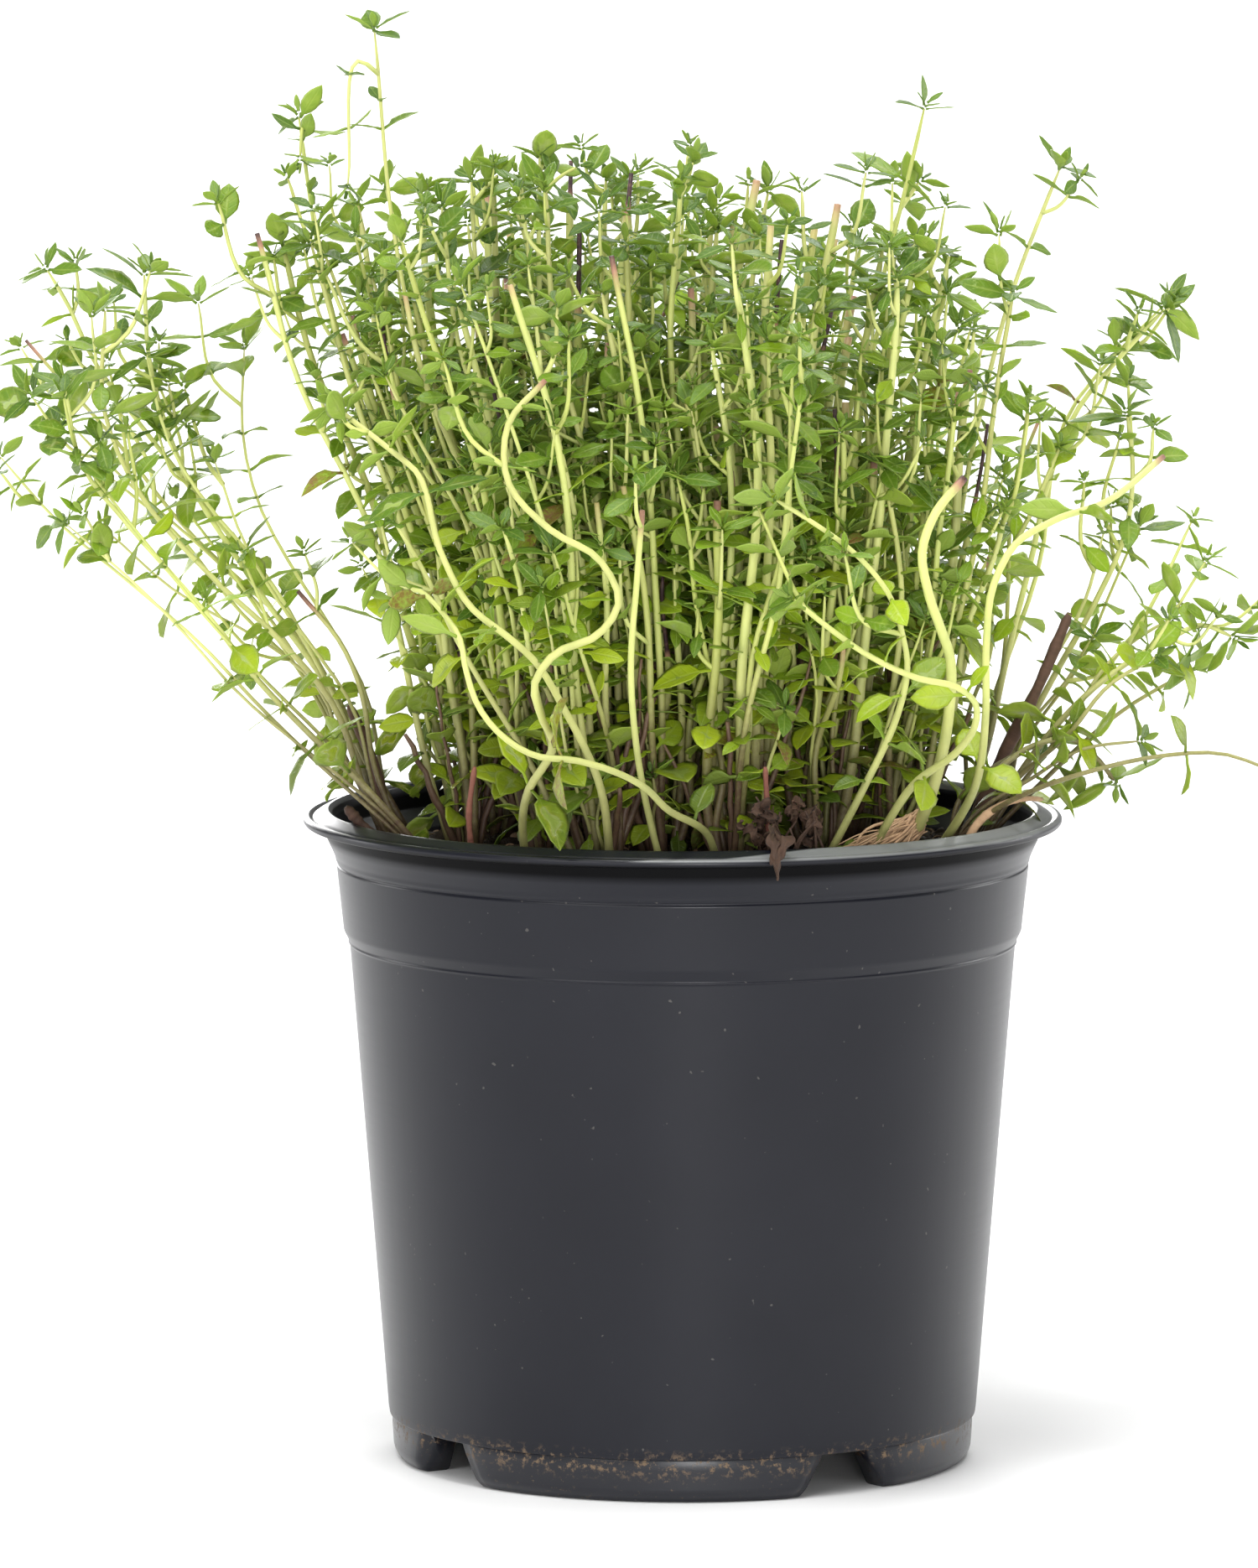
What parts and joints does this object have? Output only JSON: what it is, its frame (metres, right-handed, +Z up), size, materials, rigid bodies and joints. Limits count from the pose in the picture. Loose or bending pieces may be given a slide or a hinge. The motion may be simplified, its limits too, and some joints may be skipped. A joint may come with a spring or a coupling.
{
  "type": "potted lemon thyme",
  "caption": "Bushy lemon thyme with upright leafy stems and a few stray shoots, rooted in dark soil in a round black plastic nursery pot on feet.",
  "frame": {"origin": "on the ground, under the middle of the whole outline; the pot's axis is beside it because the foliage leans to -X", "axes": "+Z up along the pot's axis and the plant's height; the front of the plant faces -Y and +X is to its right"},
  "size_m": [0.214, 0.169, 0.2466],
  "materials": {
    "pot_plastic": "satin black with a soft sheen",
    "potting_soil": "matte crumbly compost",
    "pebble_stone": "dull",
    "dead_wood": "dry bark",
    "dry_straw": "dry fibre",
    "dead_leaf": "crumpled, dull",
    "thyme_green": "living stems and leaves, slightly waxy"
  },
  "bodies": {
    "root": {"nursery_pot": "pot_plastic", "potting_soil": "potting_soil", "pebble": "pebble_stone", "twig_stub": "dead_wood", "dead_stalk_left": "dead_wood", "dead_stalk_right": "dead_wood", "woody_stem_left": "dead_wood", "woody_stem_right": "dead_wood", "dry_blade": "dry_straw", "dry_root_tuft": "dry_straw", "dead_leaf_curl": "dead_leaf", "sprig_01": "thyme_green", "sprig_02": "thyme_green", "sprig_03": "thyme_green", "sprig_04": "thyme_green", "sprig_05": "thyme_green", "sprig_06": "thyme_green", "sprig_07": "thyme_green", "sprig_08": "thyme_green", "sprig_09": "thyme_green", "sprig_10": "thyme_green", "sprig_11": "thyme_green", "sprig_12": "thyme_green", "sprig_13": "thyme_green", "sprig_14": "thyme_green", "sprig_15": "thyme_green", "sprig_16": "thyme_green", "sprig_17": "thyme_green", "sprig_18": "thyme_green", "sprig_19": "thyme_green", "sprig_20": "thyme_green", "sprig_21": "thyme_green", "sprig_22": "thyme_green", "sprig_23": "thyme_green", "sprig_24": "thyme_green", "sprig_25": "thyme_green", "sprig_26": "thyme_green", "sprig_27": "thyme_green", "sprig_28": "thyme_green", "sprig_29": "thyme_green", "winding_stem": "thyme_green", "slanting_stem": "thyme_green", "looping_stem": "thyme_green", "straight_stem": "thyme_green", "sagging_stem": "thyme_green", "hooked_stem": "thyme_green", "stout_cut_stem": "thyme_green", "leaning_stem": "thyme_green", "left_outer_sprig": "thyme_green", "left_fork_sprig": "thyme_green", "left_far_sprig": "thyme_green", "left_low_sprig": "thyme_green", "right_high_sprig": "thyme_green", "right_outer_sprig": "thyme_green", "right_trailing_sprig": "thyme_green", "right_drooping_sprig": "thyme_green", "back_left_sprig": "thyme_green", "back_middle_sprig": "thyme_green", "back_right_sprig": "thyme_green"}
  },
  "joints": []
}
